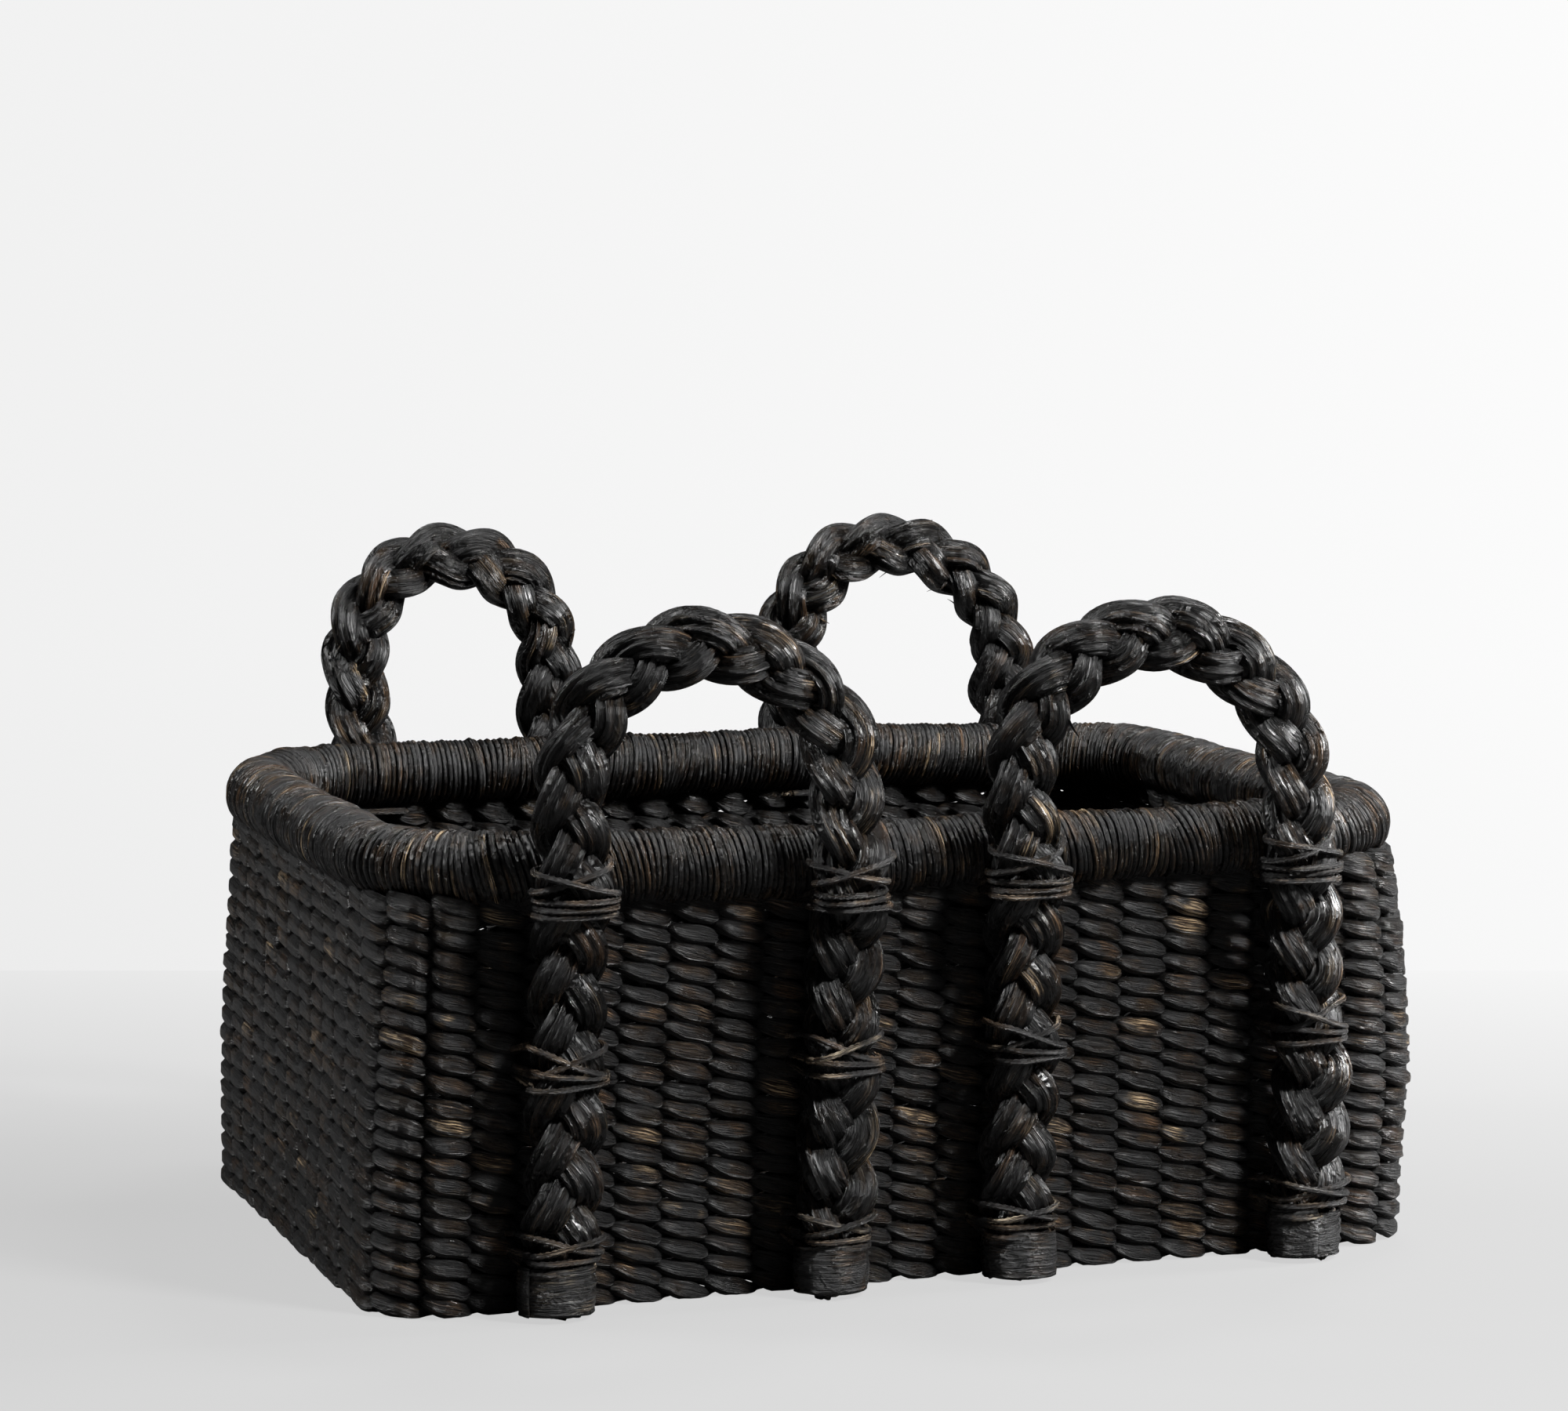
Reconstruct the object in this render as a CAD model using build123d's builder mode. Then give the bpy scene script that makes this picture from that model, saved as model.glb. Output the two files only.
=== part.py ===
"""Rectangular laundry basket, hand woven from water hyacinth over bent stakes, with a corded rim
and four plaited handles that are lashed through the wall.

Millimetres, +Z up.  The origin is on the floor at the middle of the base.  +X runs along the
basket and -Y is its front.
"""

import os
from math import cos, floor, pi, radians, sin

from build123d import *

os.makedirs("parts", exist_ok=True)

# Woven body
basket_length = 600.0  # over the end walls, at the floor
basket_width = 404.0  # over the side walls
wall_height = 218.0  # floor to the last course under the rim
wall_thickness = 14.0  # over the weavers on both sides of the stakes
wall_corner_radius = 37.0
end_lean = 7.0  # how far each end wall leans in on its way up to the rim
course_height = 10.9  # one bead of weave in a column
course_relief = 2.5  # depth of the furrow between two beads
corner_facets = 3

# Stakes
stake_size = 4.5
stake_pitch = 26.2
stake_floor = 2.5  # weave under the stakes
stake_crossing = 1.0  # weave between the two layers of stakes in the base
base_cover = 2.1  # weave over the highest stake

# Rim
rim_cord = 4.3  # the twisted cord that covers the rim
rim_core_diameter = 30.0
rim_corner_radius = 69.0
core_facets = 6
wrapping_facets = 12

# Plaits
plait_turn = 93.0  # length in which a strand comes back to its own side
plait_swing = 14.8  # how far a strand swings across the plait
plait_depth = 11.0  # how far it dips in front of and behind its neighbours
strand_width = 15.5
strand_thickness = 12.5
strands_per_plait = 3
crossings_per_turn = 6
grip_girth = 0.88  # the plait is drawn tighter over the arch
tied_girth = 0.8  # and tighter still inside the binding of a leg's end
leg_clearance = 3.0  # the legs stop just off the floor

# Leg ends and lashings
binding_height = 27.0
binding_thickness = 2.0
binding_chamfer = 3.0
twine = 3.5
lashing_turns = 3
lashed_heights = {"low": 0.2, "middle": 0.65, "top": 0.95}  # share of the wall's courses

clearance = 0.3

# name: side of the basket, then middle of the arch and spread of the legs as shares of the
# basket's length, then how far the arch rises above the rim
handles = {
    "front_left": (-1, -0.215, 0.252, 117.5),
    "front_right": (-1, 0.225, 0.273, 118.5),
    "back_left": (1, -0.23, 0.205, 130.5),
    "back_right": (1, 0.2525, 0.25, 130.5),
}

# Sizes that follow from those above
half_length = basket_length / 2
half_width = basket_width / 2
wall_middle = wall_thickness / 2
side_stake_y = half_width - wall_middle
rim_radius = rim_core_diameter / 2 + clearance + rim_cord
rim_height = wall_height + clearance + rim_radius
cross_stake_top = stake_floor + stake_size
long_stake_floor = cross_stake_top + 2 * clearance + stake_crossing
long_stake_top = long_stake_floor + stake_size
base_thickness = long_stake_top + clearance + base_cover
plait_half_width = plait_swing + strand_width / 2
plait_half_depth = plait_depth * sin(radians(60)) + strand_thickness / 2 + 1.0
leg_y = half_width + clearance + plait_half_depth
grip_y = half_width - wall_middle + rim_radius + clearance + plait_half_depth
lashing_height = lashing_turns * twine
lashing_reach = plait_half_width + clearance + twine / 2
course_count = round(wall_height / course_height)
tie = binding_height - strand_thickness / 2  # plaiting stops here and the strands run on straight


def lean(height):
    """How far the end walls have come in at this height."""
    return end_lean * height / wall_height


def plan_outline(length, width, radius, inset=0.0):
    """Corners of a rounded rectangle given by its half sizes, moved in by the inset."""
    points = []
    for quarter, (side_x, side_y) in enumerate([(1, 1), (-1, 1), (-1, -1), (1, -1)]):
        for step in range(corner_facets + 1):
            angle = (quarter + step / corner_facets) * pi / 2
            points.append(
                (
                    side_x * (length - radius) + (radius - inset) * cos(angle),
                    side_y * (width - radius) + (radius - inset) * sin(angle),
                )
            )
    return points


def wall_outline(height, inset):
    """The body's outline at a height, moved in from the outer face of its beads."""
    return plan_outline(half_length - lean(height), half_width, wall_corner_radius, inset)


def rim_outline(offset):
    """The rim's centre line in plan, moved outwards by the offset."""
    length = half_length - end_lean - wall_middle
    return plan_outline(length, side_stake_y, rim_corner_radius, -offset)


def hoop_levels(radius, facets, outward):
    """Heights and offsets of the outer (1) or inner (-1) half of a faceted round hoop."""
    levels = []
    for step in range(facets // 2):
        angle = (step + 0.5) * 2 * pi / facets - pi / 2
        levels.append((rim_height + radius * sin(angle), outward * radius * cos(angle)))
    return levels


def stake_places(straight):
    """Places of the stakes along a straight wall, from its middle outwards."""
    each_way = floor(straight / 2 / stake_pitch)
    return [n * stake_pitch for n in range(-each_way, each_way + 1)]


def cross_stake_outline(gap):
    """A stake that runs up one side wall from under the base and up the other, grown by a gap."""
    outer = side_stake_y + stake_size / 2 + gap
    inner = side_stake_y - stake_size / 2 - gap
    low, high = stake_floor - gap, cross_stake_top + gap
    return [
        (-outer, low),
        (outer, low),
        (outer, wall_height),
        (inner, wall_height),
        (inner, high),
        (-inner, high),
        (-inner, wall_height),
        (-outer, wall_height),
    ]


def long_stake_outline(gap):
    """A stake that runs up one end wall, over the cross stakes and up the other, grown by a gap."""
    line = half_length - wall_middle
    half = stake_size / 2 + gap
    low, high = long_stake_floor - gap, long_stake_top + gap
    right = [
        (line - lean(low) + half, low),
        (line - end_lean + half, wall_height),
        (line - end_lean - half, wall_height),
        (line - lean(high) - half, high),
    ]
    return right + [(-x, z) for x, z in reversed(right)]


def corner_stake_place(side_x, side_y, height):
    """Middle of a corner's stake at a height."""
    reach = (wall_corner_radius - wall_middle) * cos(pi / 4)
    x = half_length - lean(height) - wall_corner_radius + reach
    y = half_width - wall_corner_radius + reach
    return side_x * x, side_y * y


def ease(share):
    """Rises smoothly from 0 to 1."""
    share = min(max(share, 0.0), 1.0)
    return share * share * (3 - 2 * share)


def plait_distance_out(height):
    """How far out from the middle of the basket a plait lies, passing outside the rim."""
    start = rim_height - 2.4 * rim_radius
    return leg_y + (grip_y - leg_y) * ease((height - start) / (rim_height - 0.3 * rim_radius - start))


class PlaitLine:
    """A handle's course: up one leg, over the arch and down the other leg."""

    def __init__(self, side, middle, spread, rise):
        self.side = side
        self.middle = middle * basket_length
        self.radius = spread * basket_length / 2
        self.shoulder = rim_height + rim_radius + rise - plait_half_width * grip_girth - self.radius
        self.leg = self.shoulder - leg_clearance
        self.length = 2 * self.leg + pi * self.radius
        plaited = self.length - 2 * tie
        self.crossings = round(plaited / plait_turn * crossings_per_turn)
        self.step = plaited / self.crossings

    def frame(self, distance):
        """Point on the middle of the plait and the direction across it."""
        if distance < self.leg:
            angle = pi
            height = leg_clearance + distance
        elif distance > self.length - self.leg:
            angle = 0.0
            height = leg_clearance + self.length - distance
        else:
            angle = pi - (distance - self.leg) / self.radius
            height = self.shoulder + self.radius * sin(angle)
        point = Vector(
            self.middle + self.radius * cos(angle), self.side * plait_distance_out(height), height
        )
        return point, Vector(cos(angle), 0, sin(angle))

    def girth(self, distance):
        """Share of the full width: drawn in over the arch and inside the bindings."""
        from_end = min(distance, self.length - distance)
        tied = tied_girth + (1 - tied_girth) * ease(from_end / binding_height - 1)
        arch = 1 - (1 - grip_girth) * ease((from_end - self.leg) / plait_turn + 1)
        return min(tied, arch)

    def strand_planes(self, strand):
        """A plane across the strand, and its girth, at its ends, ties and crossings."""
        crossings = [tie + (n + 0.5) * self.step for n in range(self.crossings)]
        out = Vector(0, self.side, 0)
        points = []
        girths = []
        for distance in [0.0, tie] + crossings + [self.length - tie, self.length]:
            point, across = self.frame(distance)
            girths.append(self.girth(distance))
            plaited = min(max(distance - tie, 0), self.length - 2 * tie)
            turn = 2 * pi * (plaited / self.step / crossings_per_turn + strand / strands_per_plait)
            swing = plait_swing * girths[-1] * sin(turn)
            dip = plait_depth * girths[-1] * sin(2 * turn)
            points.append(point + across * swing + out * dip)
        ahead = [points[1] - points[0]]
        ahead += [points[n + 1] - points[n - 1] for n in range(1, len(points) - 1)]
        ahead += [points[-1] - points[-2]]
        planes = [Plane(p, x_dir=out.cross(d), z_dir=d) for p, d in zip(points, ahead)]
        return zip(planes, girths)


def strand_section(girth):
    """A hank of leaves pressed to a lens: a ridge on each face and a thin edge on each side."""
    width = strand_width * girth / 2
    height = strand_thickness * girth / 2
    return [(width, 0), (0, height), (-width, 0), (0, -height)]


def clear_of_stakes(x, outward):
    """Moves the twine outwards along the wall until it passes beside a stake, not through it."""
    room = (stake_size + twine) / 2 + 2 * clearance
    nearest = round(x / stake_pitch) * stake_pitch
    if abs(x - nearest) < room:
        return nearest + outward * room
    return x


def lashing_sides(leg_x):
    """Where the twine of a lashing passes through the wall, left and right of a leg."""
    return clear_of_stakes(leg_x - lashing_reach, -1), clear_of_stakes(leg_x + lashing_reach, 1)


cross_planes = [Plane.YZ.offset(x) for x in stake_places(2 * (half_length - wall_corner_radius))]
long_planes = [Plane.XZ.offset(y) for y in stake_places(2 * (half_width - wall_corner_radius))]
corners = [(1, 1), (-1, 1), (-1, -1), (1, -1)]
plait_lines = {name: PlaitLine(*sizes) for name, sizes in handles.items()}
legs = {}
for handle_name, line in plait_lines.items():
    for leg_word, leg_x in (("left", line.middle - line.radius), ("right", line.middle + line.radius)):
        legs[f"{handle_name}_handle_{leg_word}_leg"] = (line.side, leg_x)
lashing_heights = {
    word: (round(share * course_count) - 0.5) * wall_height / course_count
    for word, share in lashed_heights.items()
}

# Woven wall: beads and furrows outside, channels for the stakes, slots for the lashings
with BuildPart() as woven_wall:
    for half_course in range(2 * course_count + 1):
        level = wall_height * half_course / (2 * course_count)
        with BuildSketch(Plane.XY.offset(level)):
            Polygon(*wall_outline(level, 0 if half_course % 2 else course_relief), align=None)
    loft(ruled=True)
    for level in (0, wall_height):
        with BuildSketch(Plane.XY.offset(level)):
            Polygon(*wall_outline(level, wall_thickness), align=None)
    loft(ruled=True, mode=Mode.SUBTRACT)
    with BuildSketch(*cross_planes):
        Polygon(*cross_stake_outline(clearance), align=None)
    extrude(amount=stake_size / 2 + clearance, both=True, mode=Mode.SUBTRACT)
    with BuildSketch(*long_planes):
        Polygon(*long_stake_outline(clearance), align=None)
    extrude(amount=stake_size / 2 + clearance, both=True, mode=Mode.SUBTRACT)
    for side_x, side_y in corners:
        for level in (stake_floor - clearance, wall_height):
            with BuildSketch(Plane.XY.offset(level)):
                with Locations(corner_stake_place(side_x, side_y, level)):
                    Rectangle(stake_size + 2 * clearance, stake_size + 2 * clearance)
        loft(ruled=True, mode=Mode.SUBTRACT)
    for side in (-1, 1):
        slots = [
            (x, level)
            for leg_side, leg_x in legs.values()
            if leg_side == side
            for x in lashing_sides(leg_x)
            for level in lashing_heights.values()
        ]
        with BuildSketch(Plane.XZ.offset(-side * side_stake_y)):
            with Locations(slots):
                Rectangle(twine + 2 * clearance, lashing_height + 2 * clearance)
        extrude(amount=wall_middle + clearance, both=True, mode=Mode.SUBTRACT)
woven_wall.part.label = "woven_wall"
export_step(woven_wall.part, "parts/woven_wall.step")

# Woven base, inside the foot of the wall
with BuildPart() as woven_base:
    for level in (0, base_thickness):
        with BuildSketch(Plane.XY.offset(level)):
            Polygon(*wall_outline(level, wall_thickness + clearance), align=None)
    loft(ruled=True)
    with BuildSketch(*cross_planes):
        Polygon(*cross_stake_outline(clearance), align=None)
    extrude(amount=stake_size / 2 + clearance, both=True, mode=Mode.SUBTRACT)
    with BuildSketch(*long_planes):
        Polygon(*long_stake_outline(clearance), align=None)
    extrude(amount=stake_size / 2 + clearance, both=True, mode=Mode.SUBTRACT)
woven_base.part.label = "woven_base"
export_step(woven_base.part, "parts/woven_base.step")

# Stakes: each runs up one wall, through the base and up the opposite wall
with BuildPart() as cross_stakes:
    with BuildSketch(*cross_planes):
        Polygon(*cross_stake_outline(0), align=None)
    extrude(amount=stake_size / 2, both=True)
cross_stakes.part.label = "cross_stakes"
export_step(cross_stakes.part, "parts/cross_stakes.step")

with BuildPart() as long_stakes:
    with BuildSketch(*long_planes):
        Polygon(*long_stake_outline(0), align=None)
    extrude(amount=stake_size / 2, both=True)
long_stakes.part.label = "long_stakes"
export_step(long_stakes.part, "parts/long_stakes.step")

with BuildPart() as corner_stakes:
    for side_x, side_y in corners:
        for level in (stake_floor, wall_height):
            with BuildSketch(Plane.XY.offset(level)):
                with Locations(corner_stake_place(side_x, side_y, level)):
                    Rectangle(stake_size, stake_size)
        loft(ruled=True)
corner_stakes.part.label = "corner_stakes"
export_step(corner_stakes.part, "parts/corner_stakes.step")

# Rim: a round core hoop inside its sleeve of cord
with BuildPart() as rim_core:
    for outward, mode in ((1, Mode.ADD), (-1, Mode.SUBTRACT)):
        for level, offset_out in hoop_levels(rim_core_diameter / 2, core_facets, outward):
            with BuildSketch(Plane.XY.offset(level)):
                Polygon(*rim_outline(offset_out), align=None)
        loft(ruled=True, mode=mode)
rim_core.part.label = "rim_core"
export_step(rim_core.part, "parts/rim_core.step")

with BuildPart() as rim_bore:
    for outward, mode in ((1, Mode.ADD), (-1, Mode.SUBTRACT)):
        for level, offset_out in hoop_levels(rim_core_diameter / 2 + clearance, core_facets, outward):
            with BuildSketch(Plane.XY.offset(level)):
                Polygon(*rim_outline(offset_out), align=None)
        loft(ruled=True, mode=mode)

with BuildPart() as rim_wrapping:
    for outward, mode in ((1, Mode.ADD), (-1, Mode.SUBTRACT)):
        for level, offset_out in hoop_levels(rim_radius, wrapping_facets, outward):
            with BuildSketch(Plane.XY.offset(level)):
                Polygon(*rim_outline(offset_out), align=None)
        loft(ruled=True, mode=mode)
    add(rim_bore.part, mode=Mode.SUBTRACT)
rim_wrapping.part.label = "rim_wrapping"
export_step(rim_wrapping.part, "parts/rim_wrapping.step")

# Plaited handles, a solid for each strand
for handle_name, line in plait_lines.items():
    for strand_number in range(strands_per_plait):
        with BuildPart() as strand:
            for plane, girth_there in line.strand_planes(strand_number):
                with BuildSketch(plane):
                    Polygon(*strand_section(girth_there), align=None)
            loft(ruled=True)
        strand.part.label = f"{handle_name}_handle_strand_{strand_number + 1}"
        export_step(strand.part, f"parts/{strand.part.label}.step")

# Leaf bindings round the ends of the legs
binding_inside_x = plait_half_width * tied_girth + clearance
binding_inside_y = plait_half_depth * tied_girth + clearance
for leg_name, (leg_side, leg_x) in legs.items():
    with BuildPart() as binding:
        with BuildSketch(Plane.XY.offset(leg_clearance)):
            with Locations((leg_x, leg_side * leg_y)):
                outside = Rectangle(
                    2 * (binding_inside_x + binding_thickness), 2 * (binding_inside_y + binding_thickness)
                )
                chamfer(outside.vertices(), binding_chamfer)
                Rectangle(2 * binding_inside_x, 2 * binding_inside_y, mode=Mode.SUBTRACT)
        extrude(amount=binding_height)
    binding.part.label = f"{leg_name}_binding"
    export_step(binding.part, f"parts/{binding.part.label}.step")

# Lashings: turns of twine round a leg and through the wall
for leg_name, (leg_side, leg_x) in legs.items():
    left, right = lashing_sides(leg_x)
    for level_name, level in lashing_heights.items():
        front = plait_distance_out(level + lashing_height / 2) + plait_half_depth + clearance
        back = half_width - wall_thickness - clearance
        with BuildPart() as lashing:
            with BuildSketch(Plane.XY.offset(level - lashing_height / 2)):
                with Locations(((left + right) / 2, leg_side * (front + back) / 2)):
                    Rectangle(right - left + twine, front - back + 2 * twine)
                    Rectangle(right - left - twine, front - back, mode=Mode.SUBTRACT)
            extrude(amount=lashing_height)
        lashing.part.label = f"{leg_name}_{level_name}_lashing"
        export_step(lashing.part, f"parts/{lashing.part.label}.step")
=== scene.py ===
"""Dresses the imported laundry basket: twined water hyacinth walls, a corded rim, four plaited
handles with their twine lashings and leaf bindings, on a pale floor in soft light.

Shapes are worked out in millimetres on an even basket, then settled into the hand-made one.
"""

from math import cos, pi, radians, sin

import bpy
import numpy as np
from mathutils import Matrix, Vector


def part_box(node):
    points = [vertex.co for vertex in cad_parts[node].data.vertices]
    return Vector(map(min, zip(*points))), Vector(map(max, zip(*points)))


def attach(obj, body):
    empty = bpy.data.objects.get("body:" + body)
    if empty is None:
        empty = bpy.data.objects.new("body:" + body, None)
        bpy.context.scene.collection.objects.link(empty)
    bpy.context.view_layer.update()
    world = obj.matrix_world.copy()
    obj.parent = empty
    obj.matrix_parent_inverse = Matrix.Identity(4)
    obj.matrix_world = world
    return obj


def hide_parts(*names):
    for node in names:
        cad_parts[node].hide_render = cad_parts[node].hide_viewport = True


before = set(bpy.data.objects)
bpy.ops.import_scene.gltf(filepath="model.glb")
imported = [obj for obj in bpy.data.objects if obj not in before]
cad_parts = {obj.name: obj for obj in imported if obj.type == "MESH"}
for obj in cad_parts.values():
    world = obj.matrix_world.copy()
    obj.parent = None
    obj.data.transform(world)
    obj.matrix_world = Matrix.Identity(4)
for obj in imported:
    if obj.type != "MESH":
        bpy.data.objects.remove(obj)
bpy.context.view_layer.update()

chance = np.random.default_rng(5)

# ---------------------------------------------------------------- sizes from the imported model


def packed(node):
    """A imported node's lowest and highest corners, in millimetres."""
    low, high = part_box(node)
    return np.array(low) * 1000, np.array(high) * 1000


rim_low, rim_high = packed("rim_wrapping")
rim_flat = (rim_high[2] - rim_low[2]) / 2
rim_radius = rim_flat / cos(pi / 12)
rim_level = (rim_high[2] + rim_low[2]) / 2
half_long = rim_high[0] - rim_flat
half_wide = rim_high[1] - rim_flat
wall_top = packed("woven_wall")[1][2]

stake_pitch = 25.9
end_pitch = 26.2
stake_radius = 2.25
courses = 20
course_pitch = wall_top / courses
wall_corner = 30.0
rim_corner = 69.0
cord_pitch = 3.1
plait_swing = 10.7
plait_dip = 8.3
plait_turn = 93.0
twine_radius = 1.8

# ---------------------------------------------------------------- shared shaping


def ease(share):
    """Rises smoothly from 0 to 1."""
    share = np.clip(share, 0, 1)
    return share * share * (3 - 2 * share)


def wander(count, every, spread, loop=False):
    """A slow random drift over count steps, with a fresh value every so many steps."""
    knots = max(int(round(count / every)), 1) + 1
    values = chance.normal(0, spread, knots)
    if loop:
        values[-1] = values[0]
    at = np.linspace(0, knots - 1, count, endpoint=not loop)
    low = np.minimum(at.astype(int), knots - 2)
    part = ease(at - low)
    return values[low] * (1 - part) + values[low + 1] * part


def settle(points):
    """Turns the even basket into the hand-made one: ends that flare to the foot, a right end that
    bulges, a back left that leans out, long sides that belly out under the rim, a rim that dips
    between its corners, and a slow unevenness."""
    x, y, z = points[..., 0], points[..., 1], points[..., 2]
    up = np.clip(z / wall_top, 0, 1)
    middle = np.clip(1 - (x / 292) ** 2, 0, 1)
    side = np.sign(y) * np.clip(np.abs(y) / half_wide, 0, 1) ** 3
    new_x = x * (1 + 0.0235 * (1 - z / wall_top)) + 0.9 * np.sin(y / 61 + z / 47)
    bulge = np.interp(z, [0, 90, 150, 200, 224, 262], [3, 13, 12, 9, 5, 2.5])
    new_x = new_x + bulge * np.clip(x / half_long, 0, 1) ** 3
    lean = np.interp(z, [0, 90, 200, 262], [5, 6.5, 5, 3.5])
    lean = lean * (1 + np.clip(y / half_wide, -1, 1)) / 2
    new_x = new_x - lean * np.clip(-x / half_long, 0, 1) ** 3
    new_y = y + side * middle * (-4 + 13 * up ** 1.3) + 0.8 * np.sin(x / 53 + z / 39 + 1)
    new_z = z - up * (2.2 * middle + 0.7 * np.sin(x / 37 + y / 90))
    new_z = new_z + 3.8 * up ** 6 * np.clip(y / half_wide, 0, 1) * np.clip(1.6 - x / 180, 0, 1)
    return np.stack([new_x, new_y, new_z], axis=-1)


def outline(long, wide, corner):
    """A rounded rectangle from the middle of the front: distance, place, outward way, bend."""
    rows = []
    for quarter, (sx, sy) in enumerate([(1, -1), (1, 1), (-1, 1), (-1, -1)]):
        turn = np.linspace(0, pi / 2, 60) + (quarter - 1) * pi / 2
        cx, cy = sx * (long - corner), sy * (wide - corner)
        way = np.stack([np.cos(turn), np.sin(turn)], axis=-1)
        bend = np.full(60, 1 / corner)
        bend[0] = bend[-1] = 0
        rows.append(np.column_stack([np.array([cx, cy]) + corner * way, way, bend]))
    start = np.array([[0, -wide, 0, -1, 0]])
    table = np.concatenate([start, *rows, start])
    run = np.hypot(*np.diff(table[:, :2], axis=0).T)
    return np.concatenate([[0], np.cumsum(run)]), table


def along(line, distance):
    """Place, outward way and bend of an outline at these distances."""
    runs, table = line
    distance = np.mod(distance, runs[-1])
    found = [np.interp(distance, runs, table[:, n]) for n in range(5)]
    way = np.stack(found[2:4], axis=-1)
    way /= np.linalg.norm(way, axis=-1, keepdims=True)
    return np.stack(found[:2], axis=-1), way, found[4]


class Hank:
    """A run of fibre: rings of points along it, how rubbed it is there, a value that also carries
    painted shade, and what shade it is there.
    """

    def __init__(self, rings, loop=False, rubbed=0.0, shade=0.0):
        self.rings = rings
        self.loop = loop
        self.rubbed = self.everywhere(rubbed)
        self.shade = self.everywhere(shade)

    def everywhere(self, value):
        """One value for each point, from one for all, one for each ring or one for each point."""
        value = np.asarray(value, float)
        value = value[:, None] if value.ndim == 1 else value
        return np.broadcast_to(value, self.rings.shape[:2]).reshape(-1)


def make_piece(name, hanks, finish, nodes):
    """One mesh from hanks of fibre, with its fibre lengths laid out for the finish."""
    points, loops, sizes, fibres, wear_and_shade_values, shades = [], [], [], [], [], []
    start = 0
    for hank in hanks:
        rings = settle(hank.rings)
        rings[..., 2] = np.maximum(rings[..., 2], 0.2)
        count, sides = rings.shape[:2]
        number = np.arange(count * sides).reshape(count, sides) + start
        if hank.loop:
            near, far = number, np.roll(number, -1, axis=0)
        else:
            near, far = number[:-1], number[1:]
        quads = np.stack([near, np.roll(near, -1, 1), np.roll(far, -1, 1), far], axis=-1)
        middles = rings.mean(axis=1)
        step = np.linalg.norm(np.diff(middles, axis=0, append=middles[:1]), axis=-1)
        lengthwise = np.concatenate([[0], np.cumsum(step)]) + chance.uniform(0, 900)
        ring = rings[count // 2]
        girth = np.linalg.norm(np.roll(ring, -1, 0) - ring, axis=-1)
        around = np.concatenate([[0], np.cumsum(girth)])
        n, m = np.meshgrid(np.arange(len(near)), np.arange(sides), indexing="ij")
        corner = [(n, m), (n, m + 1), (n + 1, m + 1), (n + 1, m)]
        fibre = np.stack([np.stack([lengthwise[a], around[b]], -1) for a, b in corner], axis=2)
        points.append(rings.reshape(-1, 3))
        loops.append(quads.reshape(-1))
        sizes.append(np.full(quads.size // 4, 4))
        fibres.append(fibre.reshape(-1, 2))
        wear_and_shade_values.append(hank.rubbed)
        shades.append(hank.shade)
        start += count * sides
        if not hank.loop:
            for end, ring in ((0, number[0][::-1]), (-1, number[-1])):
                loops.append(ring)
                sizes.append(np.array([sides]))
                fibres.append(np.full((sides, 2), lengthwise[end]))
    points = np.concatenate(points) / 1000
    loops, sizes = np.concatenate(loops), np.concatenate(sizes)
    mesh = bpy.data.meshes.new(name)
    mesh.vertices.add(len(points))
    mesh.vertices.foreach_set("co", points.ravel())
    mesh.loops.add(len(loops))
    mesh.loops.foreach_set("vertex_index", loops.astype(np.int32))
    mesh.polygons.add(len(sizes))
    starts = np.concatenate([[0], np.cumsum(sizes)[:-1]]).astype(np.int32)
    mesh.polygons.foreach_set("loop_start", starts)
    mesh.polygons.foreach_set("loop_total", sizes.astype(np.int32))
    mesh.polygons.foreach_set("use_smooth", np.ones(len(sizes), bool))
    mesh.uv_layers.new(name="fibre").data.foreach_set(
        "uv", (np.concatenate(fibres) / 1000).ravel().astype(np.float32)
    )
    for title, values in (("rubbed", wear_and_shade_values), ("shade", shades)):
        layer = mesh.attributes.new(title, "FLOAT", "POINT")
        layer.data.foreach_set("value", np.concatenate(values).astype(np.float32))
    mesh.update(calc_edges=True)
    mesh.validate()
    mesh.materials.append(finish)
    piece = bpy.data.objects.new(name, mesh)
    bpy.context.scene.collection.objects.link(piece)
    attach(piece, "root")
    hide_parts(*nodes)


def round_section(sides):
    """Angles round a section."""
    return np.arange(sides) * 2 * pi / sides


# ---------------------------------------------------------------- finishes


def stain(code):
    """A colour given as sRGB hex, turned linear."""
    parts = [int(code[n : n + 2], 16) / 255 for n in (1, 3, 5)]
    return [p / 12.92 if p <= 0.04045 else ((p + 0.055) / 1.055) ** 2.4 for p in parts] + [1.0]


def put(tree, kind, links=(), stops=(), **settings):
    """Adds one node: its settings, its sockets' values or links, and a ramp's stops."""
    made = tree.nodes.new(kind)
    for name, value in settings.items():
        setattr(made, name, value)
    for socket, value in dict(links).items():
        if isinstance(value, bpy.types.NodeSocket):
            tree.links.new(value, made.inputs[socket])
        else:
            made.inputs[socket].default_value = value
    for n, (place, value) in enumerate(stops):
        ramp = made.color_ramp
        mark = ramp.elements[n] if n < len(ramp.elements) else ramp.elements.new(place)
        mark.position, mark.color = place, value
    return made


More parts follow.
